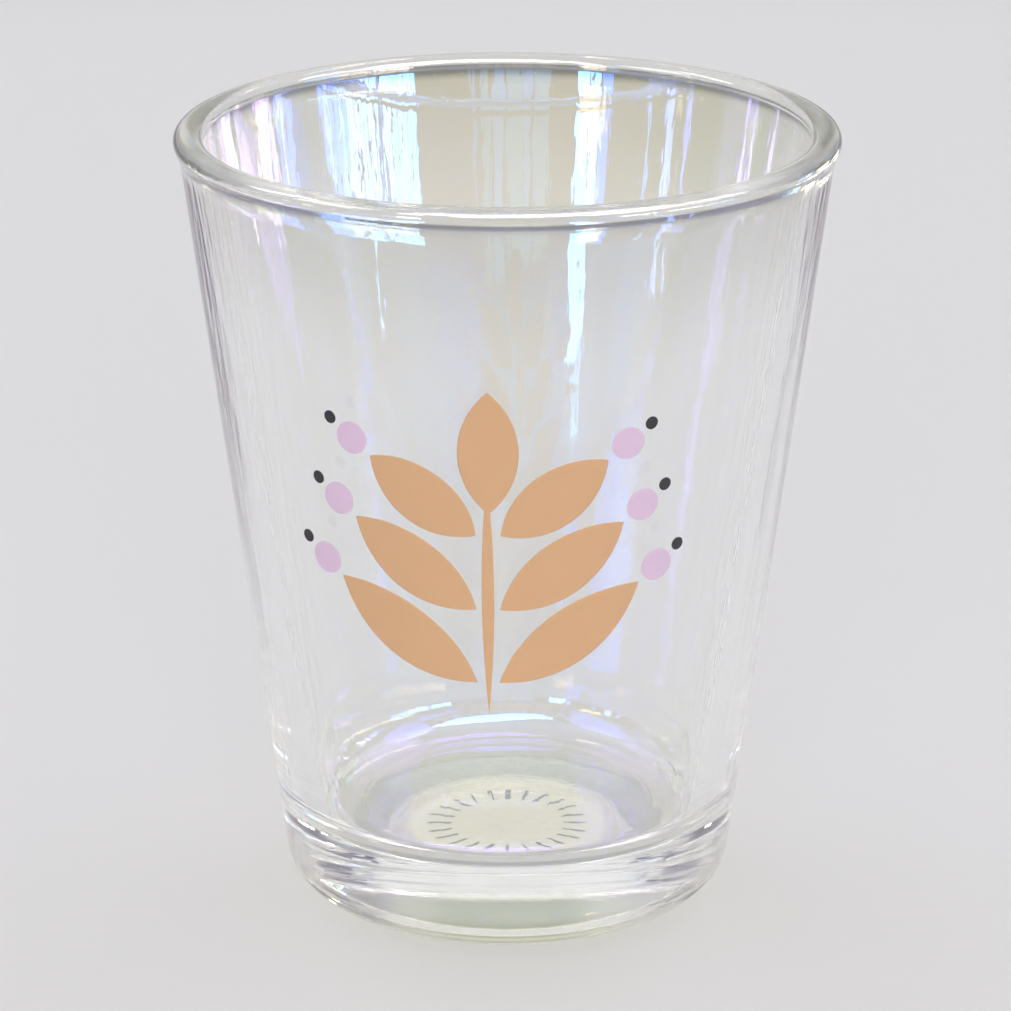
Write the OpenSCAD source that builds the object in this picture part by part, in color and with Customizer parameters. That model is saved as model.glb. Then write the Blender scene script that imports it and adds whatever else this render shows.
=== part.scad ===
// Printed souvenir shot glass: a pressed glass body with a lustre coat on its
// outside, a three-colour print on the front of its wall and a care label
// stuck in the recess under its base.
// Millimetres, +Z up, the foot stands on z = 0, the print faces -Y.

/* [Glass] */
// Height from the bench to the top of the rim
height = 60; // [50:0.5:75]
// Outer diameter of the wall's cone, at the level of the rim's top
mouth_d = 49.1; // [42:0.1:56]
// Outer diameter of the wall's cone, at the level of the bench
foot_d = 33.4; // [29:0.1:40]
// Wall thickness at the level of the rim's top
mouth_wall = 1.75; // [1.4:0.05:3]
// Wall thickness at the level of the cavity's floor
floor_wall = 3.2; // [2:0.05:5]
// Height of the cavity's floor above the bench
base_t = 6.5; // [4:0.1:14]
// Radius where the cavity's floor turns up into the wall
floor_round = 3; // [1:0.1:5]
// Radius where the outside of the wall turns under to the foot
foot_round = 3.9; // [1:0.1:4.4]

/* [Rim] */
// How far the fire-polished lip stands out past the wall
lip_out = 0.35; // [0.1:0.05:0.8]
// How far the lip stands in past the cavity's wall
lip_in = 0.05; // [0.02:0.01:0.3]
// Radius of the lip's outer and inner edges
lip_round = 0.75; // [0.4:0.05:0.75]
// Radius of the hollow blend under the lip's outer edge
lip_blend = 2.4; // [0.6:0.1:3]

/* [Recess under the base] */
// Width of the flat ring that the glass stands on
foot_land = 0.6; // [0.4:0.1:3]
// Depth of the recess
recess_depth = 0.4; // [0.3:0.05:1.5]

/* [Coat and inks] */
// Thickness of the lustre coat, drawn thicker than the real vapour film
lustre_t = 0.05; // [0.03:0.01:0.1]
// Thickness of a printed ink
ink_t = 0.06; // [0.03:0.01:0.15]

/* [Sprig] */
// Height of the lower tip of the sprig's stem
sprig_z = 20.8; // [14:0.1:26]
// Distance round the wall from the middle of the front to the stem
sprig_across = -1.4; // [-6:0.1:6]
// Length of the stem
stem_l = 19; // [14:0.5:22]
// Width of the stem at its middle
stem_w = 0.9; // [0.5:0.05:1.5]
// Number of pairs of leaves
leaf_pairs = 3; // [2:1:3]
// Height of the lowest pair's joints above the stem's lower tip
leaf_first = 1.8; // [0.5:0.1:4]
// Height from one pair to the next
leaf_pitch = 5.9; // [5.2:0.1:6.5]
// Length of a leaf of the lowest pair
leaf_l = 12.5; // [8:0.1:14]
// How much shorter each pair is than the one below it
leaf_step = 1.5; // [0:0.1:2]
// Width of a side leaf at its middle
leaf_w = 4.4; // [2.5:0.1:5]
// Angle of a side leaf from upright
leaf_lean = 54; // [45:1:65]
// Gap along a side leaf from the stem's middle line to the leaf's point
leaf_gap = 1.2; // [0.8:0.1:2]
// Length of the leaf at the top of the stem
crown_l = 9.5; // [6:0.1:11]
// Width of the leaf at the top of the stem
crown_w = 4.4; // [2.5:0.1:5]
// Gap from the stem's upper tip to the top leaf
crown_gap = -3; // [-4:0.1:1]

/* [Berries and specks] */
// Diameter of a printed berry
berry_d = 2.5; // [1.2:0.1:3]
// Gap from the tip of a side leaf to the edge of its berry
berry_gap = 0.7; // [0.4:0.1:2]
// Diameter of a printed speck
speck_d = 1; // [0.5:0.05:1.4]
// Gap from the edge of a berry to the edge of a speck
speck_gap = 0.5; // [0.4:0.1:1]

/* [Label] */
// Gap from the round care label's edge to the edge of the recess's roof
label_gap = 3.3; // [0.3:0.1:4]
// Thickness of the label's film
label_t = 0.12; // [0.06:0.01:0.2]
// Number of ticks printed round the label
tick_count = 24; // [12:1:40]
// Length of a tick, along the label's radius
tick_l = 2; // [1:0.1:3]
// Width of a tick
tick_w = 0.45; // [0.3:0.05:0.6]
// Margin from the ticks' outer ends to the label's edge
tick_margin = 2.6; // [0.5:0.1:3]

/* [Hidden] */
$fn = 96;

// Outside of the wall: a cone, with its lean from upright
wall_rise = (mouth_d - foot_d) / 2 / height;
wall_lean = atan(wall_rise);
function wall_r(z) = foot_d / 2 + wall_rise * z;

// Cavity: a cone from the floor to the mouth, with its own lean
cavity_floor_r = wall_r(base_t) - floor_wall;
cavity_mouth_r = mouth_d / 2 - mouth_wall;
cavity_rise = (cavity_mouth_r - cavity_floor_r) / (height - base_t);
cavity_lean = atan(cavity_rise);
function cavity_r(z) = cavity_floor_r + cavity_rise * (z - base_t);

// A point at distance d from centre, square to a wall of the given lean
function square_out(centre, d, lean) = centre + d * [cos(lean), -sin(lean)];

// A round reaches this hair past the line it blends into, so that the two always cross
round_bite = 0.0005;

// Rounds of the foot and of the cavity's floor: centre, and the wall's nearest point, as [r, z]
foot_near = foot_round - round_bite;
foot_centre = [wall_r(foot_round) - foot_near / cos(wall_lean), foot_round];
foot_touch = square_out(foot_centre, foot_near, wall_lean);
floor_near = floor_round - round_bite;
floor_centre = [cavity_r(base_t + floor_round) - floor_near / cos(cavity_lean), base_t + floor_round];
floor_touch = square_out(floor_centre, floor_near, cavity_lean);

// Recess: a flat roof with a side that slopes out at 45 degrees to the foot's flat ring
recess_r = foot_centre[0] - foot_land;
roof_r = recess_r - recess_depth;

// Lip: an outer and an inner edge, each a circle, with a flat crown between them
lip_z = height - lip_round;
outer_edge = [wall_r(lip_z) + lip_out - lip_round, lip_z];
inner_edge = [cavity_r(lip_z) - lip_in + lip_round, lip_z];
lip_low = lip_z - lip_round / 2;

// Blend under the lip: a circle outside the glass that touches the wall and the outer edge.
// Its centre runs along a line beside the wall, at the drop that puts it
// one blend radius and one edge radius from the edge's centre.
blend_side = square_out([wall_r(lip_z), lip_z], lip_blend, wall_lean) - outer_edge;
wall_down = -[sin(wall_lean), cos(wall_lean)];
blend_half = blend_side * wall_down;
blend_reach = lip_blend + lip_round;
blend_drop = -blend_half + sqrt(blend_half * blend_half - blend_side * blend_side + blend_reach * blend_reach);
blend_centre = outer_edge + blend_side + blend_drop * wall_down;
blend_touch = square_out(blend_centre, -lip_blend, wall_lean);
blend_root = square_out(blend_centre, -lip_blend - mouth_wall / 2, wall_lean);

// Lustre coat: covers the straight of the wall, clear of the foot's round and of the blend
coat_clear = 0.2;
coat_low = foot_touch[1] + coat_clear;
coat_high = blend_touch[1] - coat_clear;

// Print: each ink lies on the coat
ink_in = lustre_t;
ink_out = lustre_t + ink_t;
crown_z = sprig_z + stem_l + crown_gap;
function pair_z(pair) = sprig_z + leaf_first + pair * leaf_pitch;
function pair_l(pair) = leaf_l - pair * leaf_step;

// Label: hangs from the recess's roof, with its ticks on its lower face
label_r = roof_r - label_gap;
label_z = recess_depth - label_t;

// Solid turned from a profile in [r, z]
module turned() {
    rotate_extrude() children();
}

module wall_profile() {
    polygon([
        [0, 0], [foot_centre[0], 0], foot_centre, foot_touch,
        [wall_r(lip_z), lip_z], [0, lip_z]
    ]);
    translate(foot_centre) circle(r = foot_round);
}

module cavity_profile() {
    polygon([
        [0, base_t], [floor_centre[0], base_t], floor_centre, floor_touch,
        [cavity_r(height), height], [0, height]
    ]);
    translate(floor_centre) circle(r = floor_round);
}

module recess_profile() {
    polygon([
        [0, -1], [recess_r, -1], [recess_r, 0], [roof_r, recess_depth], [0, recess_depth]
    ]);
}

module lip_profile() {
    translate(outer_edge) circle(r = lip_round);
    translate(inner_edge) circle(r = lip_round);
    polygon([
        [inner_edge[0], lip_low], [outer_edge[0], lip_low],
        [outer_edge[0], height - round_bite], [inner_edge[0], height - round_bite]
    ]);
    difference() {
        polygon([outer_edge, blend_root, blend_centre]);
        translate(blend_centre) circle(r = lip_blend + round_bite);
    }
}

// Skin on the straight of the wall, from one height off the glass to another
module wall_skin(skin_in, skin_out) {
    turned() polygon([
        [wall_r(coat_low) + skin_in, coat_low], [wall_r(coat_low) + skin_out, coat_low],
        [wall_r(coat_high) + skin_out, coat_high], [wall_r(coat_high) + skin_in, coat_high]
    ]);
}

// Cuts a flat shape out of the ink's skin, facing out at a place on the wall
module printed(across, up) {
    turn = across / wall_r(up) * 180 / PI;
    intersection() {
        wall_skin(ink_in, ink_out);
        rotate([0, 0, turn]) rotate([90, 0, 0]) translate([0, up, 0])
            linear_extrude(mouth_d) children();
    }
}

// Leaf with two points, its length upright and its middle at the origin
module leaf_shape(length, width) {
    arc_r = (length * length + width * width) / (4 * width);
    intersection() {
        translate([arc_r - width / 2, 0]) circle(r = arc_r, $fn = 720);
        translate([width / 2 - arc_r, 0]) circle(r = arc_r, $fn = 720);
    }
}

// Side leaf of a pair, on the right for side 1 and on the left for side -1
module side_leaf(pair, side) {
    reach = leaf_gap + pair_l(pair) / 2;
    printed(sprig_across + side * reach * sin(leaf_lean), pair_z(pair) + reach * cos(leaf_lean))
        rotate(-side * leaf_lean) leaf_shape(pair_l(pair), leaf_w);
}

// Dot in line with a side leaf, at a distance past its tip
module dot_past_leaf(pair, side, past, dot_d) {
    reach = leaf_gap + pair_l(pair) + past;
    printed(sprig_across + side * reach * sin(leaf_lean), pair_z(pair) + reach * cos(leaf_lean))
        circle(d = dot_d);
}

module glass_body() {
    color([0.86, 0.89, 0.88, 0.4]) turned() {
        difference() {
            wall_profile();
            cavity_profile();
            recess_profile();
        }
        lip_profile();
    }
}

module lustre_coat() {
    color([0.85, 0.84, 0.92, 0.3]) wall_skin(0, lustre_t);
}

module leaf_print() {
    color([0.84, 0.67, 0.51]) {
        printed(sprig_across, sprig_z + stem_l / 2) leaf_shape(stem_l, stem_w);
        printed(sprig_across, crown_z + crown_l / 2) leaf_shape(crown_l, crown_w);
        for (pair = [0 : leaf_pairs - 1], side = [-1, 1]) side_leaf(pair, side);
    }
}

module berry_print() {
    color([0.87, 0.76, 0.86])
        for (pair = [0 : leaf_pairs - 1], side = [-1, 1])
            dot_past_leaf(pair, side, berry_gap + berry_d / 2, berry_d);
}

module speck_print() {
    color([0.1, 0.1, 0.11])
        for (pair = [0 : leaf_pairs - 1], side = [-1, 1])
            dot_past_leaf(pair, side, berry_gap + berry_d + speck_gap + speck_d / 2, speck_d);
}

module base_label() {
    color([0.93, 0.93, 0.92, 0.6]) translate([0, 0, label_z]) cylinder(r = label_r, h = label_t);
}

module label_print() {
    color([0.45, 0.45, 0.46])
        for (tick = [0 : tick_count - 1])
            rotate([0, 0, tick * 360 / tick_count])
                translate([label_r - tick_margin - tick_l, -tick_w / 2, label_z - ink_t])
                    cube([tick_l, tick_w, ink_t]);
}

glass_body();
lustre_coat();
leaf_print();
berry_print();
speck_print();
base_label();
label_print();
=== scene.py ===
# %% [markdown]
# # A printed shot glass
#
# The real object is one pressed glass with a few thin layers on it: an iridescent
# lustre on the outside, three inks on the front, and a round label under the base.
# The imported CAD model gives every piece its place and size. This lesson dresses it:
# each visible piece becomes a smooth surface worked out with numpy, and each finish
# becomes a small graph of shader nodes.

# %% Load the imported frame
import math

import bpy
import mathutils
import numpy as np
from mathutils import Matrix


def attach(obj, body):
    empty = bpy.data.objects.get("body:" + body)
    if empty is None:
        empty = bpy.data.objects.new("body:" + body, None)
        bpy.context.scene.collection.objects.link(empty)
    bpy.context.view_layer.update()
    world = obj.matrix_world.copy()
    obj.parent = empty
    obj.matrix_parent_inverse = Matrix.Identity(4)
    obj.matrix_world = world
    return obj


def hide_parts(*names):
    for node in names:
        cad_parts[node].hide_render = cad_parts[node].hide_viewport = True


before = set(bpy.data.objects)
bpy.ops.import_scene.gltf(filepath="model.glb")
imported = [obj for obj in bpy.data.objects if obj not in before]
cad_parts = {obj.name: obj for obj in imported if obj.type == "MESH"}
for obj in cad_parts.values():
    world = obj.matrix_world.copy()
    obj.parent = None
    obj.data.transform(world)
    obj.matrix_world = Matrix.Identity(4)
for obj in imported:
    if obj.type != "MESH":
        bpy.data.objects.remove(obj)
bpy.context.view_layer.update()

# %% [markdown]
# ## Sizes
#
# The CAD model is drawn in millimetres and Blender works in metres, so every size is
# written in millimetres times MM. They are the sizes of the part's source, because a
# smooth surface has to lie where the solid lies.

# %% Sizes of the glass
MM = 0.001
height = 60 * MM
mouth_d = 49.1 * MM
foot_d = 33.4 * MM
mouth_wall = 1.75 * MM
floor_wall = 3.2 * MM
base_t = 6.5 * MM
floor_round = 3 * MM
foot_round = 3.9 * MM
lip_out = 0.35 * MM
lip_in = 0.05 * MM
lip_round = 0.75 * MM
foot_land = 0.6 * MM
recess_depth = 0.4 * MM
lustre_t = 0.05 * MM

wall_rise = (mouth_d - foot_d) / 2 / height
wall_lean = math.atan(wall_rise)


def wall_r(z):
    """Radius of the coated wall: the foot's radius and the coat, plus the rise times the height."""
    return foot_d / 2 + lustre_t + wall_rise * z


cavity_floor_r = wall_r(base_t) - lustre_t - floor_wall
cavity_rise = (mouth_d / 2 - mouth_wall - cavity_floor_r) / (height - base_t)
cavity_lean = math.atan(cavity_rise)


def cavity_r(z):
    """Radius of the cavity: its radius at the floor, plus its rise times the height above the floor."""
    return cavity_floor_r + cavity_rise * (z - base_t)


leans = np.round(np.degrees([wall_lean, cavity_lean]), 2)
print("wall leans", leans[0], "degrees, and cavity", leans[1])

# %% [markdown]
# ## One kind of mesh for every piece
#
# A turned glass, a leaf of ink and a printed dot have something in common. Each is a
# ring of points carried along a path, and the ring shrinks to a single point at both
# ends. So one function can make them all from a grid of points: rows along the path,
# columns round the ring. It joins the last column to the first, which closes the seam,
# and it fans triangles out of the two end points, which closes the poles.


# %% Grids of points become closed skins
def closed_skins(name, grids):
    """A mesh object of closed skins, from an array of grids by rows by columns by xyz.

    Each grid's first and last row is one point repeated. Rows in between become rings.
    A face joins two rows and two columns, and the end faces are triangles.
    """
    count, rows, columns, _ = grids.shape
    rings = grids[:, 1:-1].reshape(count, -1, 3)
    points = np.concatenate([grids[:, :1, 0], rings, grids[:, -1:, 0]], axis=1)
    per_skin = points.shape[1]

    column = np.arange(columns)
    beside = (column + 1) % columns
    row = 1 + columns * np.arange(rows - 3)[:, None]
    quads = np.stack([row + column, row + beside, row + columns + beside, row + columns + column], axis=-1)
    last_row = 1 + columns * (rows - 3)
    first_fan = np.stack([0 * column, 1 + beside, 1 + column], axis=-1)
    last_fan = np.stack([last_row + column, last_row + beside, 0 * column + per_skin - 1], axis=-1)

    shift = per_skin * np.arange(count)[:, None, None]
    quads = (quads.reshape(1, -1, 4) + shift).reshape(-1, 4)
    fans = (np.concatenate([first_fan, last_fan])[None] + shift).reshape(-1, 3)
    mesh = bpy.data.meshes.new(name)
    mesh.from_pydata(points.reshape(-1, 3).tolist(), [], quads.tolist() + fans.tolist())
    mesh.shade_smooth()
    mesh.update()
    piece = bpy.data.objects.new(name, mesh)
    bpy.context.scene.collection.objects.link(piece)
    print(name, "has", len(mesh.vertices), "points and", len(quads) * 2 + len(fans), "triangles")
    return piece


# %% [markdown]
# ## The glass
#
# A pressed tumbler is a body of revolution, so its shape is one profile: out under the
# base, round the foot, up the wall, over the rim, down the cavity and in across the
# floor. The Spin tool could turn it, but a profile made of true lines and arcs gives
# exact control of where the points are dense, and refraction shows every facet.
#
# The lip is fire-polished and a little thicker than the wall: a rounded outer edge, a low
# crown and a rounded inner edge. Hollow blends lead from it into the wall on both sides.
#
# Two curves are gentler than the solid's, by less than half a millimetre. The hollow under
# the lip has a longer radius, and the recess under the base is a shallow dish. Refraction
# makes a hard line of a sharp turn, and the photograph has no such line there.


# %% Lines and arcs for a profile
def line(start, stop, count):
    """Points spaced evenly on a straight line: start plus a share of the way to stop."""
    share = np.linspace(0, 1, count)[:, None]
    return np.asarray(start) + share * (np.asarray(stop) - np.asarray(start))


def arc(centre, radius, start, stop, count):
    """Points on a circle: centre plus radius times the cosine and sine of an angle, in radians."""
    angle = np.linspace(start, stop, count)
    return np.asarray(centre) + radius * np.column_stack([np.cos(angle), np.sin(angle)])


def hollow_blend(edge, on_wall, down, out, radius):
    """Centre of a circle that touches a lip's edge and a straight wall from outside both.

    It lies one radius out from the wall, and as far down the wall as puts it
    one radius plus the edge's radius from the edge's centre.
    """
    side = on_wall + radius * out - edge
    half = side @ down
    reach = radius + lip_round
    drop = -half + math.sqrt(half * half - side @ side + reach * reach)
    return edge + side + drop * down


def heading(vector):
    """Angle of a vector from the radius's direction, in radians."""
    return math.atan2(vector[1], vector[0])


# %% Centres of the foot's and the floor's turns
foot_centre = np.array([wall_r(foot_round) - foot_round / math.cos(wall_lean), foot_round])
floor_top = base_t + floor_round
floor_centre = np.array([cavity_r(floor_top) - floor_round / math.cos(cavity_lean), floor_top])
print("foot turns about", np.round(foot_centre / MM, 2), "and floor about", np.round(floor_centre / MM, 2))

# %% Centres of the lip's arcs
hair = 0.004 * MM
lip_crown_r = 1.6 * MM
neck_blend = 6 * MM
throat_blend = 1.2 * MM

lip_top = height - hair
lip_z = height - lip_round
outer_r = wall_r(lip_z) - lustre_t + lip_out - lip_round - hair
inner_r = cavity_r(lip_z) - lip_in + lip_round
lip_half = (outer_r - inner_r) / 2
edge_z = lip_top - lip_crown_r + math.sqrt((lip_crown_r - lip_round) ** 2 - lip_half**2)
outer_edge = np.array([outer_r, edge_z])
inner_edge = np.array([inner_r, edge_z])
lip_crown = np.array([(outer_r + inner_r) / 2, lip_top - lip_crown_r])

wall_down = np.array([-math.sin(wall_lean), -math.cos(wall_lean)])
wall_out = np.array([math.cos(wall_lean), -math.sin(wall_lean)])
cavity_down = np.array([-math.sin(cavity_lean), -math.cos(cavity_lean)])
cavity_in = np.array([-math.cos(cavity_lean), math.sin(cavity_lean)])
wall_beside = np.array([wall_r(edge_z), edge_z])
cavity_beside = np.array([cavity_r(edge_z), edge_z])
neck = hollow_blend(outer_edge, wall_beside, wall_down, wall_out, neck_blend)
throat = hollow_blend(inner_edge, cavity_beside, cavity_down, cavity_in, throat_blend)
to_outer = heading(outer_edge - lip_crown)
to_inner = heading(inner_edge - lip_crown)
print("lip's edges are centred at", np.round(outer_edge / MM, 2), "and", np.round(inner_edge / MM, 2))

# %% The dished underside and the marked floor
label_gap = 3.3 * MM
dish_margin = 0.4 * MM
dish_depth = 0.36 * MM
mark_w = 0.9 * MM
mark_depth = 0.04 * MM

recess_r = foot_centre[0] - lustre_t - foot_land
label_r = recess_r - recess_depth - label_gap
dish_r = recess_r + dish_margin


def roof_z(r):
    """Height of the dished underside: its depth times one less the square of the share of its radius."""
    return dish_depth * (1 - np.minimum(r / dish_r, 1) ** 2)


def under_roof(r, drop):
    """Points a drop below the dished underside, at the given radii."""
    return np.column_stack([r, roof_z(r) - drop])


def floor_with_mark():
    """The floor from its turn to the axis, with a fine double ring left by the plunger.

    The ring's depth is the squared sine of one full turn across its width.
    """
    share = np.linspace(0, 1, 13)
    mark_r = floor_centre[0] - mark_w * share
    mark_z = base_t - mark_depth * np.sin(math.tau * share) ** 2
    inside = line([floor_centre[0] - mark_w, base_t], [0, base_t], 14)
    return np.concatenate([np.column_stack([mark_r, mark_z]), inside[1:]])


print("dish is", round(dish_r / MM, 2), "mm in radius and", dish_depth / MM, "mm deep")

# %% The profile of the glass
# The last number of each line and arc is its count of points.
profile_parts = {
    "dish": under_roof(np.linspace(0, label_r, 18), 0),
    "dish rim": under_roof(np.linspace(label_r, dish_r, 12), 0),
    "foot": arc(foot_centre, foot_round, math.radians(-90), -wall_lean, 22),
    "wall": line(foot_centre + foot_round * wall_out, neck - neck_blend * wall_out, 64),
    "neck": arc(neck, neck_blend, math.pi - wall_lean, heading(outer_edge - neck), 10),
    "outer edge": arc(outer_edge, lip_round, heading(neck - outer_edge), to_outer, 16),
    "crown": arc(lip_crown, lip_crown_r, to_outer, to_inner, 9),
    "inner edge": arc(inner_edge, lip_round, to_inner, heading(throat - inner_edge) % math.tau, 14),
    "throat": arc(throat, throat_blend, heading(inner_edge - throat), -cavity_lean, 8),
    "cavity": line(throat - throat_blend * cavity_in, floor_centre - floor_round * cavity_in, 56),
    "floor turn": arc(floor_centre, floor_round, -cavity_lean, math.radians(-90), 18),
    "floor": floor_with_mark(),
}
for part_name, part in profile_parts.items():
    print(part_name, np.round(part[0] / MM, 2), "to", np.round(part[-1] / MM, 2))

# %% [markdown]
# ## Ripples in the walls
#
# Pressed glass is never perfectly even. Its walls carry faint upright ripples from the
# mould and from cooling, and these break a reflected window into the long streaks that
# make glass look like glass. A Displace modifier could add them, but a few sine waves
# round the axis are simpler to steer. Whole numbers of waves meet at the seam, and a share
# that fades out at the wall's ends keeps the foot and the rim true.


# %% Waves round the axis
ripple_drift = 24 * MM


def ripple(angle, z, waves, phases, size):
    """Sum of waves round the axis: size over the wave count, times the sine of the count
    times the angle plus a phase that drifts slowly with the height."""
    total = np.zeros(np.broadcast(angle, z).shape)
    for wave, phase in zip(waves, phases):
        total += size / wave * np.sin(wave * angle + phase + np.sin(z / ripple_drift + phase))
    return total


def turned(profile, columns, waves=0.0):
    """Points of a surface of revolution: radius times the cosine and sine of the angle, and the height."""
    angle = np.linspace(0, math.tau, columns, endpoint=False)[None, :]
    radius = profile[:, :1] + waves + 0 * angle
    return np.stack([radius * np.cos(angle), radius * np.sin(angle), profile[:, 1:] + 0 * angle], axis=-1)


def share_on(chosen):
    """Share of the waves at each point of the profile: on the chosen part a squared sine, which
    is 0 at its ends and 1 in its middle, and 0 on every other part."""
    shares = [
        np.sin(np.linspace(0, math.pi, len(part))) ** 2 * (part_name == chosen)
        for part_name, part in profile_parts.items()
    ]
    return np.concatenate(shares)


# %% Turn the profile into the glass
# Two parts meet in one point, and the second copy of it is left out.
same_point = 1e-8
glass_columns = 256

profile = np.concatenate(list(profile_parts.values()))
fresh = np.append(True, np.linalg.norm(np.diff(profile, axis=0), axis=1) > same_point)
part_of = np.repeat(np.arange(len(profile_parts)), [len(part) for part in profile_parts.values()])[fresh]
wall_share = share_on("wall")[fresh, None]
cavity_share = share_on("cavity")[fresh, None]
profile = profile[fresh]

around = np.linspace(0, math.tau, glass_columns, endpoint=False)[None, :]
outer_waves = ripple(around, profile[:, 1:], [7, 11, 19, 31], [0.4, 2.1, 4.4, 1.2], 0.05 * MM)
inner_waves = ripple(around, profile[:, 1:], [5, 9, 14, 23, 34], [1.7, 0.3, 3.6, 5.2, 2.6], 0.1 * MM)
waves = wall_share * outer_waves + cavity_share * inner_waves
glass = closed_skins("tumbler", turned(profile, glass_columns, waves)[None])
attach(glass, "root")
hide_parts("glass_body", "lustre_coat")
print("ripples reach", round(float(np.abs(outer_waves).max() / MM), 3), "mm outside")

# %% [markdown]
# ## The print
#
# Three inks are screened on the front: peach leaves, pink berries and black specks. Each
# lies on the lustre, a hair clear of the glass itself, so that light caught inside the
# wall doesn't carry the ink's colour round to the rim. A decal or a painted mask would be
# flat; a thin skin with a soft edge catches the light along its rim as real ink does.
#
# Each shape is drawn flat, with two arcs for its sides, and then laid on the cone: a point
# keeps its height and its distance to the side, and its depth follows from the radius.

# %% Sizes of the print
sprig_z = 20.8 * MM
sprig_across = -1.4 * MM
stem_l = 19 * MM
stem_w = 0.9 * MM
leaf_pairs = 3
leaf_first = 1.8 * MM
leaf_pitch = 5.9 * MM
leaf_l = 12.5 * MM
leaf_step = 1.5 * MM
leaf_w = 4.4 * MM
leaf_lean = math.radians(54)
leaf_gap = 1.2 * MM
crown_l = 9.5 * MM
crown_w = 4.4 * MM
crown_gap = -3 * MM
berry_d = 2.5 * MM
berry_gap = 0.7 * MM
speck_d = 1 * MM
speck_gap = 0.5 * MM
ink_low = 0.018 * MM
ink_high = 0.06 * MM
ink_flatness = 0.4
print("sprig is", round((stem_l + crown_gap + crown_l) / MM, 1), "mm tall")


# %% Flat shapes laid on the wall as skins of ink
def ink_on_wall(name, length, width, lean, across, up, rows=41, columns=28):
    """Closed skins of ink on the wall, one for each entry of the arrays.

    Half width at a distance along the shape is the height of a circle's arc there. The
    cross-section is a flattened oval. The shape leans, then a point's depth is the root of
    the wall's radius squared less its distance to the side squared, and the whole turns
    about the axis by its distance across over the radius.
    """
    count = np.shape(across)
    given = (length, width, lean, across, up)
    length, width, lean, across, up = (np.broadcast_to(v, count)[:, None, None] for v in given)
    arc_r = (length**2 + width**2) / (4 * width)
    along = -length / 2 * np.cos(np.linspace(0, math.pi, rows))[None, :, None]
    half = np.sqrt(np.maximum(arc_r**2 - along**2, 0)) - (arc_r - width / 2)
    half[:, [0, -1]] = 0
    turn = np.linspace(0, math.tau, columns, endpoint=False)[None, None, :]
    side = half * np.cos(turn)
    bulge = -np.sign(np.sin(turn)) * np.abs(np.sin(turn)) ** ink_flatness
    lift = (ink_high + ink_low) / 2 + bulge * (ink_high - ink_low) / 2 * (half > 0)
    x = side * np.cos(lean) + along * np.sin(lean)
    z = up + along * np.cos(lean) - side * np.sin(lean)
    depth = -np.sqrt((wall_r(z) + lift) ** 2 - x**2)
    angle = across / (wall_r(up) - lustre_t)
    turned_x = x * np.cos(angle) - depth * np.sin(angle)
    turned_y = x * np.sin(angle) + depth * np.cos(angle)
    piece = closed_skins(name, np.stack([turned_x, turned_y, z], axis=-1))
    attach(piece, "root")
    return piece


# %% Leaves, berries and specks
pair = np.repeat(np.arange(leaf_pairs), 2)
leaf_side = np.tile([-1.0, 1.0], leaf_pairs)
pair_z = sprig_z + leaf_first + pair * leaf_pitch
pair_l = leaf_l - pair * leaf_step


def beyond(reach):
    """Place at a reach along each side leaf: across by the sine of its lean, and up by its cosine."""
    return sprig_across + leaf_side * reach * math.sin(leaf_lean), pair_z + reach * math.cos(leaf_lean)


leaf_across, leaf_up = beyond(leaf_gap + pair_l / 2)
crown_up = sprig_z + stem_l + crown_gap + crown_l / 2
leaves = ink_on_wall(
    "sprig_leaves",
    np.append(pair_l, [stem_l, crown_l]),
    np.append(np.full(2 * leaf_pairs, leaf_w), [stem_w, crown_w]),
    np.append(leaf_side * leaf_lean, [0, 0]),
    np.append(leaf_across, [sprig_across, sprig_across]),
    np.append(leaf_up, [sprig_z + stem_l / 2, crown_up]),
)
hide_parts("leaf_print")

tip = leaf_gap + pair_l
berry_across, berry_up = beyond(tip + berry_gap + berry_d / 2)
berries = ink_on_wall("sprig_berries", berry_d, berry_d, 0, berry_across, berry_up, 25, 28)
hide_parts("berry_print")

speck_across, speck_up = beyond(tip + berry_gap + berry_d + speck_gap + speck_d / 2)
specks = ink_on_wall("sprig_specks", speck_d, speck_d, 0, speck_across, speck_up, 17, 20)
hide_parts("speck_print")

# %% [markdown]
# ## The label under the base
#
# A round film label sits in the recess under the base, with grey ticks printed on it. It
# is seen through the thick base. A hair of air is left above it, because light that runs
# across the base at a low angle then still mirrors off the glass, which is what makes the
# base of the real one sparkle. The film is turned like the glass. The ticks are small
# bars laid out round the axis, and they go right through the film.

# %% The label's film
label_t = 0.12 * MM
air_gap = 0.01 * MM
film_half = (label_t - air_gap) / 2
film_edge = label_r - film_half
film_middle = np.array([film_edge, roof_z(film_edge) - air_gap - film_half])
film_r = np.linspace(0, film_edge, 14)
film_profile = np.concatenate(
    [
        under_roof(film_r, label_t)[:-1],
        arc(film_middle, film_half, math.radians(-90), math.radians(90), 9),
        under_roof(film_r, air_gap)[-2::-1],
    ]
)
label = closed_skins("base_film", turned(film_profile, 128)[None])
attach(label, "root")
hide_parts("base_label")

# %% The label's ticks
tick_count = 24
tick_l = 2 * MM
tick_w = 0.45 * MM
tick_margin = 2.6 * MM
tick_proud = 0.03 * MM
tick_squareness = 10
tick_flatness = 0.3
tick_top = air_gap / 2
tick_half = (label_t + tick_proud - tick_top) / 2


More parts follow.
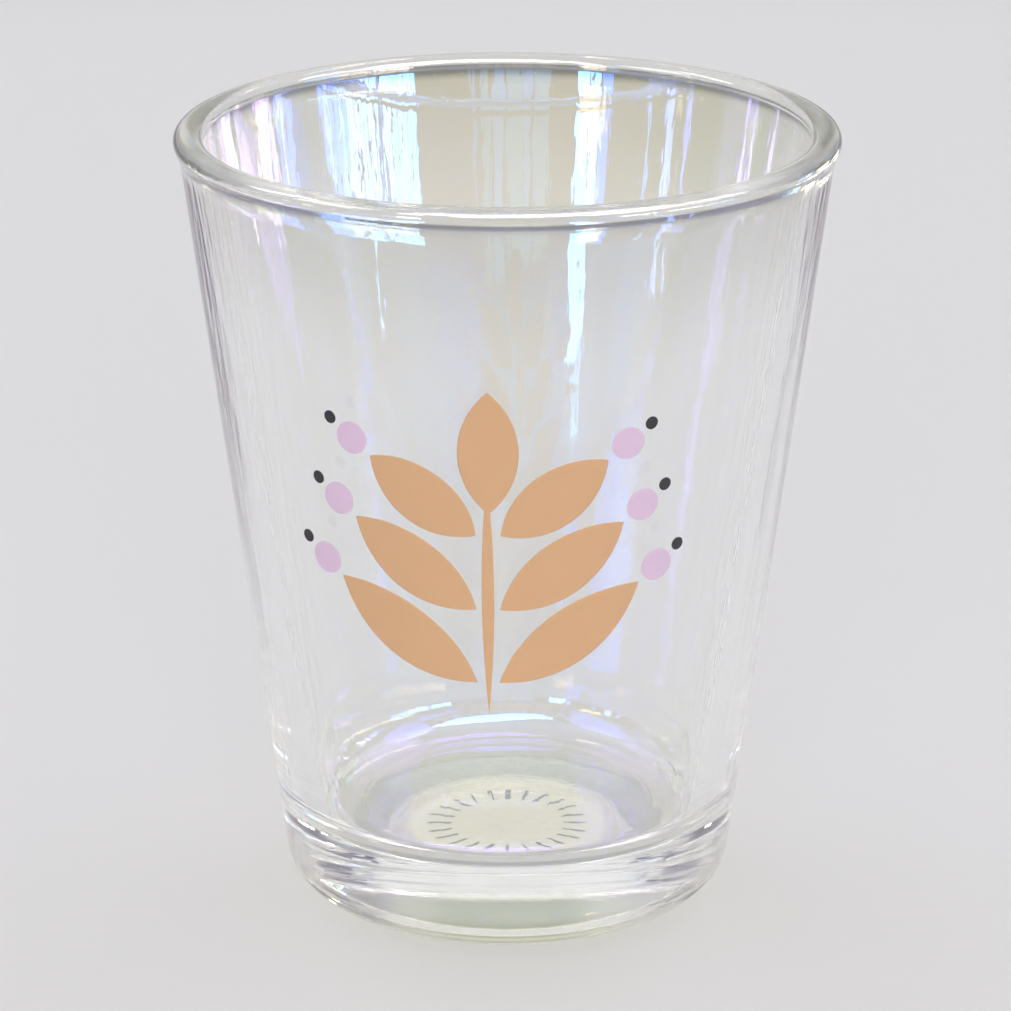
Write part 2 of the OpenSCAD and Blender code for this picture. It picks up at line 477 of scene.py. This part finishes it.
def label_ticks(rows=13, columns=16):
    """Bars round the axis: along the radius, a half width that rounds off at the ends by a
    high power of the distance along, and a flattened oval across."""
    place = np.linspace(0, math.tau, tick_count, endpoint=False)[:, None, None]
    share = -np.cos(np.linspace(0, math.pi, rows))[None, :, None]
    half = tick_w / 2 * np.sqrt(1 - np.abs(share) ** tick_squareness)
    turn = np.linspace(0, math.tau, columns, endpoint=False)[None, None, :]
    side = half * np.cos(turn)
    lift = np.sign(np.sin(turn)) * np.abs(np.sin(turn)) ** tick_flatness * tick_half * (half > 0)
    r = label_r - tick_margin - tick_l / 2 + share * tick_l / 2
    x = r * np.cos(place) - side * np.sin(place)
    y = r * np.sin(place) + side * np.cos(place)
    return np.stack([x, y, roof_z(np.hypot(x, y)) - tick_top - tick_half + lift], axis=-1)


ticks = closed_skins("label_ticks", label_ticks())
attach(ticks, "root")
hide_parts("label_print")

# %% [markdown]
# ## Writing shaders as sums
#
# A finish is a graph of nodes, and a long graph is hard to read as a list of links. The
# small class below wraps one output socket. Arithmetic on it adds Math nodes, so that
# 0.3 + 0.1 * grain can be written as it is said. Any other node comes from its node
# method, which makes the node's settings first and then fills or links its sockets. Two
# nodes that come back often, a smooth step and a mix of two colours, have short names.


# %% A socket that can be added and multiplied
class Wire:
    """One output socket of a node tree, or the tree's start when it has no socket yet."""

    def __init__(self, tree, socket=None):
        self.tree = tree
        self.socket = socket

    def node(self, kind, settings=None, sockets=None, output=0):
        """Adds a node, sets it up, fills its sockets with numbers or links, and returns one output."""
        made = self.tree.nodes.new(kind)
        for name, value in (settings or {}).items():
            setattr(made, name, value)
        for name, value in (sockets or {}).items():
            if isinstance(value, Wire):
                self.tree.links.new(value.socket, made.inputs[name])
            else:
                made.inputs[name].default_value = value
        return Wire(self.tree, made.outputs[output]) if made.outputs else None

    def maths(self, operation, first, second):
        """A Math node on two numbers or wires."""
        return self.node("ShaderNodeMath", {"operation": operation}, {0: first, 1: second})

    def step(self, first, last, low=0.0, high=1.0):
        """A smooth step: low where this value is at first, and high where it is at last."""
        ends = {"Value": self, "From Min": first, "From Max": last, "To Min": low, "To Max": high}
        return self.node("ShaderNodeMapRange", {"interpolation_type": "SMOOTHSTEP"}, ends)

    def mix(self, first, second):
        """A colour: the first where this value is 0, and the second where it is 1."""
        ends = {"Factor": self, "A": first, "B": second}
        return self.node("ShaderNodeMix", {"data_type": "RGBA"}, ends, output=2)

    def __add__(self, other):
        return self.maths("ADD", self, other)

    def __radd__(self, other):
        return self.maths("ADD", other, self)

    def __mul__(self, other):
        return self.maths("MULTIPLY", self, other)

    def __rmul__(self, other):
        return self.maths("MULTIPLY", other, self)


def new_finish(name):
    """An empty material and the start of its node tree."""
    material = bpy.data.materials.new(name)
    material.use_nodes = True
    material.node_tree.nodes.clear()
    return material, Wire(material.node_tree)


def linear(red, green, blue):
    """A colour given as 0 to 255 on a screen, as the linear numbers that shaders take, with alpha 1."""
    screen = np.array([red, green, blue]) / 255
    numbers = np.where(screen <= 0.04045, screen / 12.92, ((screen + 0.055) / 1.055) ** 2.4)
    return (*numbers.tolist(), 1.0)


# %% [markdown]
# ## Clear glass with a lustre
#
# The lustre is a vapour film, thinner than a wave of light. What it reflects is bluish,
# so what comes through is a faint olive yellow, and the two change with the angle. The
# Principled shader has this built in as its thin film, so no streak is painted: bright
# things mirror blue and lilac, and dark things leave the olive showing.
#
# Soda-lime glass takes up a little light over a long path, and looks grey green where it
# is thick or seen edgeways. A volume shader could do that, but it is slow and few other
# programs read it. So each part of the profile has a tint on its surface: the foot, the
# wall and the mouth by height, the base, and the ring round the label. The wall's and the
# base's tints are that faint green. The foot's olive is partly that green and partly
# painted shade, the olive shadow of the glass on the table behind it. The mouth's tint is
# painted shade, which dims the back wall, and the ring's dark olive is painted shade for
# the table in the glass's shadow under the base. The lip is bare.
#
# Faint upright ripples in the surface come from noise that is stretched along the height.
# Light from lamps passes straight through to the table, because a bent beam would need
# far more samples than a still picture is worth.

# %% A finish for glass
glass_ior = 1.52
lustre_nm = 136.0
lustre_ior = 2.2
foot_step = (2.4 * MM, 4.4 * MM)
mouth_step = (46 * MM, 58 * MM)


def glass_finish(name, film_nm, tints, lamp_tint):
    """Clear glass with a film of a thickness in nanometres, or none at 0, tints and faint ripples.

    There is one tint, or three, the foot's, the wall's and the mouth's, where each gives way to the
    next by a smooth step. A tint can carry painted shade as well as the glass's own green.

    A ray meets the film where it comes in from the air. On its way out the same face is bare,
    because light that is caught inside a wall would take up the film's colour at every turn.
    """
    finish, start = new_finish(name)
    place = start.node("ShaderNodeTexCoord", output="Object")
    upright = start.node("ShaderNodeMapping", {}, {"Vector": place, "Scale": (1100, 1100, 15)})
    draw_lines = start.node("ShaderNodeTexNoise", {}, {"Vector": upright, "Scale": 1.0, "Detail": 2.0})
    rubbed = start.node("ShaderNodeTexNoise", {}, {"Vector": place, "Scale": 160.0, "Detail": 3.0})
    faint = {"Height": draw_lines, "Strength": 0.035, "Distance": 0.4 * MM}
    ripples = start.node("ShaderNodeBump", {}, faint)
    worn = 0.004 + 0.02 * rubbed
    z = start.node("ShaderNodeSeparateXYZ", {}, {"Vector": place}, output="Z")
    colour = tints[0]
    for (first_z, last_z), next_tint in zip([foot_step, mouth_step], tints[1:]):
        colour = z.step(first_z, last_z).mix(colour, next_tint)
    sides = []
    for thickness in [film_nm, 0.0]:
        clear = {"Base Color": colour, "Roughness": worn, "IOR": glass_ior, "Normal": ripples}
        clear["Transmission Weight"] = 1.0
        film = {"Thin Film Thickness": thickness, "Thin Film IOR": lustre_ior}
        sides.append(start.node("ShaderNodeBsdfPrincipled", {}, {**clear, **film}))
    from_inside = start.node("ShaderNodeNewGeometry", output="Backfacing")
    shader = start.node("ShaderNodeMixShader", {}, {0: from_inside, 1: sides[0], 2: sides[1]})
    straight = start.node("ShaderNodeBsdfTransparent", {}, {"Color": lamp_tint})
    bounce = start.node("ShaderNodeLightPath", output="Is Diffuse Ray")
    shadow = start.node("ShaderNodeLightPath", output="Is Shadow Ray")
    for_bounces = start.node("ShaderNodeMixShader", {}, {0: bounce, 1: shader, 2: straight})
    for_lamps = start.node("ShaderNodeMixShader", {}, {0: shadow, 1: for_bounces, 2: straight})
    start.node("ShaderNodeOutputMaterial", {}, {"Surface": for_lamps})
    return finish


# %% Finishes for the parts of the profile
lip_parts = ["outer edge", "crown", "inner edge"]
wall_parts = ["foot", "wall", "neck", "throat", "cavity"]
base_parts = ["dish", "floor turn", "floor"]
ring_parts = ["dish rim"]
clear_tint = (1.0, 1.0, 1.0, 1.0)
# Foot: the glass's own green, and painted shade for the olive shadow of the glass on the table behind
foot_green_and_shade = (0.84, 0.85, 0.72, 1.0)
wall_tint = (0.98, 0.988, 0.972, 1.0)
# Mouth: painted shade, which dims and yellows the light through the upper wall
mouth_painted_shade = (0.838, 0.847, 0.79, 1.0)
base_tint = (0.98, 0.982, 0.962, 1.0)
# Ring round the label: painted shade, for the table in the glass's shadow under the base
ring_painted_shade = (0.51, 0.54, 0.45, 1.0)
wall_tints_and_shade = [foot_green_and_shade, wall_tint, mouth_painted_shade]
glass_finishes = [
    (glass_finish("bare_glass", 0.0, [clear_tint], (0.95, 0.95, 0.95, 1.0)), lip_parts),
    (glass_finish("lustre_glass", lustre_nm, wall_tints_and_shade, (0.92, 0.915, 0.88, 1.0)), wall_parts),
    (glass_finish("lustre_base_glass", lustre_nm, [base_tint], (0.94, 0.94, 0.925, 1.0)), base_parts),
    (glass_finish("lustre_ring_glass", lustre_nm, [ring_painted_shade], (0.92, 0.92, 0.905, 1.0)), ring_parts),
]
finish_of_part = np.zeros(len(profile_parts), dtype=np.int32)
for number, (finish, part_names) in enumerate(glass_finishes):
    glass.data.materials.append(finish)
    finish_of_part[[list(profile_parts).index(part) for part in part_names]] = number

# Quads come first in the mesh, row by row, and then the two fans at the axis.
quad_finishes = np.repeat(finish_of_part[part_of][1:-2], glass_columns)
fan_finishes = np.full(2 * glass_columns, finish_of_part[0])
finish_of_face = np.append(quad_finishes, fan_finishes)
glass.data.polygons.foreach_set("material_index", finish_of_face)
for number, (finish, part_names) in enumerate(glass_finishes):
    print(finish.name, "on", int((finish_of_face == number).sum()), "faces:", ", ".join(part_names))

# %% [markdown]
# ## Screen-printed inks
#
# The inks are satin and very nearly even. Two scales of noise keep them from looking like
# plastic film: slow clouds where the ink lies thicker or thinner, and the fine grain that
# the mesh of a printing screen leaves. All the inks share one recipe, so it is a function
# of the two tones and the gloss.


# %% The ink finishes
def ink_finish(name, tone, thin_tone, gloss):
    """Ink: clouds mix two tones, grain roughens the gloss and dents the surface."""
    finish, start = new_finish(name)
    place = start.node("ShaderNodeTexCoord", output="Object")
    clouds = start.node("ShaderNodeTexNoise", {}, {"Vector": place, "Scale": 420.0, "Detail": 3.0})
    grain = start.node("ShaderNodeTexNoise", {}, {"Vector": place, "Scale": 5200.0, "Detail": 1.0})
    colour = (0.65 * clouds + 0.35 * grain).mix(tone, thin_tone)
    dents = start.node("ShaderNodeBump", {}, {"Height": grain, "Strength": 0.25, "Distance": 0.02 * MM})
    satin = {"Base Color": colour, "Roughness": gloss + 0.12 * grain, "IOR": 1.5, "Normal": dents}
    shader = start.node("ShaderNodeBsdfPrincipled", {}, satin)
    start.node("ShaderNodeOutputMaterial", {}, {"Surface": shader})
    return finish


leaves.data.materials.append(ink_finish("peach_print", linear(214, 167, 123), linear(218, 174, 133), 0.34))
berries.data.materials.append(ink_finish("pink_print", linear(221, 190, 219), linear(225, 199, 222), 0.36))
specks.data.materials.append(ink_finish("black_print", linear(24, 24, 28), linear(44, 44, 50), 0.34))
ticks.data.materials.append(ink_finish("grey_print", linear(96, 96, 98), linear(116, 116, 118), 0.5))
print("inks:", [piece.data.materials[0].name for piece in (leaves, berries, specks, ticks)])

# %% [markdown]
# ## Label film
#
# The film is pale with a slight frost, so it whitens the disc under the base. It nearly
# hides the table behind its middle, and it thins out towards its edge, because the
# photograph shows no hard outline there. A Mix Shader with a Transparent one could do
# this, but Alpha is the same thing in one socket.

# %% The film's finish
thin_edge = 2 * MM
film_finish, start = new_finish("frosted_film")
place = start.node("ShaderNodeTexCoord", output="Object")
fibres = start.node("ShaderNodeTexNoise", {}, {"Vector": place, "Scale": 900.0, "Detail": 3.0})
from_axis = start.node("ShaderNodeVectorMath", {"operation": "LENGTH"}, {0: place}, output="Value")
cover = (0.9 + 0.1 * fibres) * from_axis.step(label_r - thin_edge, label_r, 1.0, 0.3)
pale = linear(250, 244, 239)
frost = {"Base Color": pale, "Roughness": 0.45 + 0.15 * fibres, "IOR": 1.5, "Alpha": cover}
film_shader = start.node("ShaderNodeBsdfPrincipled", {}, frost)
start.node("ShaderNodeOutputMaterial", {}, {"Surface": film_shader})
label.data.materials.append(film_finish)
print("finishes:", sorted(m.name for m in bpy.data.materials))

# %% [markdown]
# ## The stage
#
# The photograph shows a pale grey table and nothing else. Clear glass is drawn by what
# stands around it, out of the picture: bright stripes become the streaks in its walls, and
# dark stretches become its grey edges. So the stage has a table, lamps, striped windows and
# a painted surround. None of them is part of the object.
#
# The table is a disc of one pale grey. Beyond the picture it has painted shade, darker far
# off and on the camera's side, and that shows only in the glass.


# %% Sheets for the stage
def stage_sheet(name, points, quads):
    """A stage object from points and the quads that join them."""
    mesh = bpy.data.meshes.new(name)
    mesh.from_pydata(points.reshape(-1, 3).tolist(), [], quads.reshape(-1, 4).tolist())
    mesh.update()
    sheet = bpy.data.objects.new(name, mesh)
    bpy.context.scene.collection.objects.link(sheet)
    print(name, "has", len(mesh.polygons), "faces")
    return sheet


def ring_quads(rows, columns):
    """Quads of a grid whose last column meets its first: each joins two rows and two columns."""
    column = np.arange(columns)
    row = columns * np.arange(rows - 1)[:, None]
    beside = (column + 1) % columns
    return np.stack([row + column, row + columns + column, row + columns + beside, row + beside], axis=-1)


# %% The table
table_r = 0.75
table_back = 0.3
table_drop = 0.02 * MM
table_rows = 24
table_columns = 96
far_shade_step = (0.3, 0.5)
near_shade_step = (-0.07, -0.2)


def table_top():
    """A flat disc set back from the glass: a distance from its middle, and an angle."""
    distance = table_r * np.linspace(0, 1, table_rows)[:, None]
    angle = np.linspace(0, math.tau, table_columns, endpoint=False)[None, :]
    flat = np.stack([distance * np.cos(angle), distance * np.sin(angle), 0 * distance * angle], axis=-1)
    return flat + np.array([0, table_back, -table_drop])


table = stage_sheet("table", table_top(), ring_quads(table_rows, table_columns))
table_finish, start = new_finish("pale_table")
place = start.node("ShaderNodeTexCoord", output="Object")
mottle = start.node("ShaderNodeTexNoise", {}, {"Vector": place, "Scale": 14.0, "Detail": 4.0})
away = start.node("ShaderNodeVectorMath", {"operation": "LENGTH"}, {0: place}, output="Value")
y = start.node("ShaderNodeSeparateXYZ", {}, {"Vector": place}, output="Y")
table_colour = mottle.mix(linear(219, 218, 221), linear(221, 219, 221))
# Painted shade: the table darkens far from the glass, and on the camera's side
table_colour = away.step(*far_shade_step).mix(table_colour, linear(145, 145, 147))
table_colour = y.step(*near_shade_step).mix(table_colour, linear(140, 140, 142))
matt = {"Base Color": table_colour, "Roughness": 0.6, "Specular IOR Level": 0.2}
table_shader = start.node("ShaderNodeBsdfPrincipled", {}, matt)
start.node("ShaderNodeOutputMaterial", {}, {"Surface": table_shader})
table.data.materials.append(table_finish)

# %% [markdown]
# ## Lamps
#
# A lamp that lights the table would also show in the glass as a white square. Blender lets
# an object be seen by some rays only, so each lamp has one task. The first three are met
# only by diffuse rays, and light the table and the inks. The others are met only by glossy
# rays, and draw the highlights along the lip.

# %% Soft lamps
middle = np.array([0, 0, 0.03])
lamp_distance = 0.8


def soft_lamp(name, azimuth, elevation, width, tall, radiance, seen_by):
    """A rectangular lamp that faces the glass, as bright as radiance times a white card in full light.

    Azimuth 0 is the camera's side, and it grows towards the right. Only diffuse rays, or
    only glossy ones, meet the lamp.
    """
    lamp = bpy.data.lights.new(name, "AREA")
    lamp.shape = "RECTANGLE"
    lamp.size = width
    lamp.size_y = tall
    lamp.energy = radiance * math.pi * width * tall
    turn = math.radians(azimuth)
    rise = math.radians(elevation)
    flat = lamp_distance * math.cos(rise)
    outward = np.array([flat * math.sin(turn), -flat * math.cos(turn), lamp_distance * math.sin(rise)])
    panel = bpy.data.objects.new(name, lamp)
    panel.location = middle + outward
    panel.rotation_euler = mathutils.Vector(-outward).to_track_quat("-Z", "Y").to_euler()
    panel.visible_camera = False
    panel.visible_diffuse = seen_by == "diffuse"
    panel.visible_glossy = seen_by == "glossy"
    panel.visible_transmission = False
    bpy.context.scene.collection.objects.link(panel)
    print(name, "gives", round(lamp.energy, 2), "watts")


soft_lamp("side_lamp_right", 135, 50, 0.36, 0.2, 4.55, "diffuse")
soft_lamp("side_lamp_left", -135, 50, 0.36, 0.2, 4.55, "diffuse")
soft_lamp("fill", 0, 20, 0.5, 0.4, 5.5, "diffuse")
soft_lamp("lip_lamp", 20, 60, 0.9, 0.5, 14.0, "glossy")
soft_lamp("rim_lamp_right", 66, 45, 0.8, 0.3, 8.0, "glossy")
soft_lamp("rim_lamp_left_1", -105, 45, 0.16, 0.3, 10.0, "glossy")
soft_lamp("rim_lamp_left_2", -72, 45, 0.3, 0.3, 8.0, "glossy")
soft_lamp("rim_lamp_left_3", -36, 45, 0.12, 0.3, 10.0, "glossy")

# %% [markdown]
# ## Windows
#
# The streaks in the mouth are bright things in the room, mirrored in the glass. A picture
# of a room could stand round it, but upright glowing stripes say the same with a few
# numbers: where they stand, how high they reach, how bright they are and which colours
# they take in turn. Chance gives each one its width and brightness, from a fixed seed, so
# that every run draws the same stripes. They were placed to match the photograph.

# %% Stripes drawn by chance
white_tone = np.array([1.0, 1.0, 1.0])
cyan_tone = np.array([0.72, 0.93, 1.0])
blue_tone = np.array([0.3, 0.55, 1.0])
lilac_tone = np.array([0.78, 0.72, 1.0])
cream_tone = np.array([1.0, 0.88, 0.7])
warm_tone = np.array([1.0, 0.84, 0.75])
sand_tone = np.array([1.0, 0.78, 0.5])
gap_share = 1 / 6
chance = np.random.default_rng(8)
stripe_places = []
stripe_tones = []


def striped_window(first, last, count, distance, low, high, radiance, colours):
    """Upright stripes between two azimuths: widths drawn by chance, each with one of the colours in turn.

    Between two stripes a share of a stripe stays dark. Azimuth 0 is the camera's side, in
    degrees. Distance and heights are in metres.
    """
    edges = np.append(0, np.cumsum(chance.uniform(0.4, 1.6, count)))
    edges = first + (last - first) * edges / edges[-1]
    for number, (left, right) in enumerate(zip(edges[:-1], edges[1:])):
        stripe_places.append((left, right - (right - left) * gap_share, low, high, distance))
        stripe_tones.append(radiance * chance.uniform(0.7, 1.3) * colours[number % len(colours)])


# On the left, from the camera's side round to the back, where the last three stand close
striped_window(-37, -27, 2, 0.8, 0.02, 0.2, 18.0, [cream_tone])
striped_window(-35, -31, 2, 0.8, 0.0, 0.02, 6.0, [cream_tone])
striped_window(-42, -37, 1, 0.8, 0.06, 0.2, 5.0, [blue_tone])
striped_window(-60, -58, 1, 0.8, 0.05, 0.2, 5.0, [white_tone])
striped_window(-71, -67, 3, 0.8, 0.0, 0.2, 9.0, [warm_tone, cream_tone, lilac_tone])
striped_window(-79, -76, 2, 0.8, 0.03, 0.2, 5.0, [lilac_tone])
striped_window(-119.5, -117.5, 1, 0.1, 0.038, 0.054, 6.0, [white_tone])
striped_window(-125, -123.5, 1, 0.1, 0.038, 0.05, 6.0, [white_tone])
striped_window(-134, -130, 2, 0.3, 0.01, 0.022, 4.0, [white_tone])
# On the right, from the camera's side round to the back, where the last seven stand close
striped_window(13, 15, 1, 0.8, 0.06, 0.2, 1.2, [white_tone])
striped_window(37, 51.5, 7, 0.8, 0.06, 0.2, 18.0, [cream_tone, warm_tone, white_tone])
striped_window(51.5, 53.2, 2, 0.8, 0.05, 0.2, 3.0, [blue_tone])
striped_window(53.2, 68, 6, 0.8, 0.045, 0.2, 17.0, [cream_tone, warm_tone, white_tone])
striped_window(60, 61.2, 1, 0.8, 0.0, 0.045, 14.0, [cream_tone])
striped_window(68, 81, 6, 0.8, 0.035, 0.2, 12.0, [blue_tone, cyan_tone, blue_tone])
striped_window(97, 104, 2, 0.1, 0.044, 0.058, 1.8, [blue_tone])
striped_window(104, 114, 3, 0.1, 0.042, 0.058, 7.0, [blue_tone, cyan_tone])
striped_window(115.5, 127, 3, 0.1, 0.042, 0.056, 9.0, [cream_tone, white_tone])
striped_window(121.5, 124, 1, 0.1, 0.034, 0.041, 26.0, [cream_tone])
striped_window(142, 145, 1, 0.1, 0.03, 0.036, 20.0, [cream_tone])
striped_window(127, 137, 3, 0.3, 0.008, 0.022, 5.0, [cream_tone, lilac_tone])
striped_window(140, 150, 3, 0.3, 0.0, 0.022, 5.0, [white_tone])
# A dim window behind the camera, which greys the middle of the back wall between two olive bands
striped_window(-17, 11, 5, 0.9, 0.05, 0.22, 1.5, [sand_tone, warm_tone])
# High narrow stripes, which glint in the corners of the foot
for first in (-58, -44, -30, -12, 6, 18, 29, 41, 55):
    striped_window(first, first + 3, 2, 0.9, 0.8, 1.35, 2.6, [white_tone, cream_tone])
print(len(stripe_places), "stripes in all")


# %% The stripes as one glowing mesh
def toned_light(name):
    """A finish that glows with the tone kept at each point of the mesh."""
    finish, start = new_finish(name)
    tone = start.node("ShaderNodeAttribute", {"attribute_name": "tone"})
    glow = start.node("ShaderNodeEmission", {}, {"Color": tone})
    start.node("ShaderNodeOutputMaterial", {}, {"Surface": glow})
    return finish


def keep_tones(mesh, tones):
    """Keeps a tone at each point of a mesh, as a colour attribute with alpha 1."""
    with_alpha = np.append(tones.reshape(-1, 3), np.ones((len(mesh.vertices), 1)), axis=1)
    kept = mesh.color_attributes.new("tone", "FLOAT_COLOR", "POINT")
    kept.data.foreach_set("color", with_alpha.ravel())


spans = np.array(stripe_places)
sides = np.radians(spans[:, [0, 1, 1, 0]])
levels = spans[:, [2, 2, 3, 3]]
distance = spans[:, 4:]
corners = np.stack([distance * np.sin(sides), -distance * np.cos(sides), levels], axis=-1)
windows = stage_sheet("windows", corners, np.arange(4 * len(spans)))
keep_tones(windows.data, np.repeat(stripe_tones, 4, axis=0))
windows.data.materials.append(toned_light("windows"))
windows.visible_camera = False
windows.visible_diffuse = False

# %% [markdown]
# ## The surround
# Everything that isn't a window is a glowing cylinder round the stage. Its tones are painted
# light and painted shade for a room, from pale to nearly black. Its dark stretches are what
# give clear glass an outline. Each stretch is laid over the ones before it with soft edges,
# as with a spray can. An image could carry the same tones, but an attribute on the points
# needs no file.

# %% Paint on the surround
room_level = 0.95
surround_r = 1.1
surround_low = -0.05
surround_high = 2.1
surround_rows = 120
surround_columns = 240
azimuth = np.linspace(-180, 180, surround_columns, endpoint=False)[None, :]
upward = np.linspace(surround_low, surround_high, surround_rows)[:, None]
tones = np.full((surround_rows, surround_columns, 3), room_level)


def soft_window(place, first, last, soft):
    """1 between two places and 0 outside them: the lesser of a smooth step up and a smooth step down."""
    rise = np.clip((place - first) / soft + 0.5, 0, 1)
    fall = np.clip((last - place) / soft + 0.5, 0, 1)
    step = np.minimum(rise, fall)
    return step * step * (3 - 2 * step)


def paint(first, last, soft, low, high, soft_up, tone):
    """Lays a tone on the surround: old times one less the window, plus the tone times the window."""
    from_middle = (azimuth - (first + last) / 2 + 180) % 360 - 180
    half = (last - first) / 2
    window = soft_window(from_middle, -half, half, soft) * soft_window(upward, low, high, soft_up)
    tones[:] = tones * (1 - window[..., None]) + np.array(tone) * window[..., None]


# Behind the glass: dim on both sides, and olive in the middle, which shows in the foot
paint(65, 160, 24, 0.15, 0.8, 0.12, (0.38, 0.38, 0.4))
paint(200, 265, 24, 0.15, 0.8, 0.12, (0.62, 0.62, 0.64))
paint(160, 200, 24, 0.2, 0.62, 0.3, (0.5, 0.515, 0.39))
# The camera's side: dark, so that the windows stand out, with a pale strip below
paint(-95, 65, 6, -0.2, 0.5, 0.04, (0.09, 0.09, 0.1))
paint(-60, 60, 30, -0.3, 0.05, 0.04, (0.8, 0.8, 0.84))
paint(-50, 50, 10, 0.45, 1.0, 0.04, (0.15, 0.15, 0.15))
# High up on the camera's side: dark, for the corners of the foot
paint(0, 90, 8, 0.95, 2.2, 0.06, (0.09, 0.09, 0.1))
paint(-90, 0, 8, 0.95, 2.2, 0.06, (0.18, 0.18, 0.19))
# Low behind the glass: a dim horizon, and a patch of painted shade on each side
paint(125, 235, 20, -0.2, 0.11, 0.04, (0.36, 0.36, 0.37))
paint(112, 138, 8, 0.03, 0.34, 0.06, (0.14, 0.14, 0.15))
paint(222, 248, 8, 0.03, 0.34, 0.06, (0.14, 0.14, 0.15))
print("surround tones from", round(float(tones.min()), 2), "to", round(float(tones.max()), 2))

# %% The surround as a cylinder
turn = np.radians(azimuth) + 0 * upward
round_stage = np.stack([surround_r * np.sin(turn), -surround_r * np.cos(turn), upward + 0 * turn], axis=-1)
surround = stage_sheet("surround", round_stage, ring_quads(surround_rows, surround_columns))
keep_tones(surround.data, tones)
# The surround glows: its tones are painted light and painted shade, not lit paper
surround_light = toned_light("surround_glow")
surround_light.cycles.emission_sampling = "NONE"
surround.data.materials.append(surround_light)
surround.visible_camera = False

# %% [markdown]
# ## The room's light and the camera
#
# An even pale world lights what the lamps leave. The camera was fitted to the outline of
# the rim, the wall and the foot in the photograph: a long lens, a third of a metre away and
# looking down on the mouth. Light turns many times inside a thick glass base, so the paths
# may be long. The Standard view shows a colour about as it is written.

# %% The room's light
world = bpy.data.worlds.new("pale_room")
world.use_nodes = True
world.node_tree.nodes.clear()
room = Wire(world.node_tree)
air = room.node("ShaderNodeBackground", {}, {"Color": linear(222, 222, 225), "Strength": 1.16})
room.node("ShaderNodeOutputWorld", {}, {"Surface": air})
bpy.context.scene.world = world
print("world:", world.name)

# %% The camera
looks_down = math.radians(18.65)
longest_path = 64
lens = bpy.data.cameras.new("photo_camera")
lens.sensor_fit = "HORIZONTAL"
lens.sensor_width = 36
lens.lens = 163.8
lens.shift_x = -0.0019
camera = bpy.data.objects.new("photo_camera", lens)
camera.location = (0, -0.3324, 0.1424)
camera.rotation_euler = (math.radians(90) - looks_down, 0, 0)
bpy.context.scene.collection.objects.link(camera)
bpy.context.scene.camera = camera
bpy.context.scene.view_settings.view_transform = "Standard"
bpy.context.scene.cycles.max_bounces = longest_path
bpy.context.scene.cycles.transmission_bounces = longest_path
bpy.context.scene.cycles.glossy_bounces = longest_path
print("camera looks down by", round(math.degrees(looks_down), 2), "degrees")
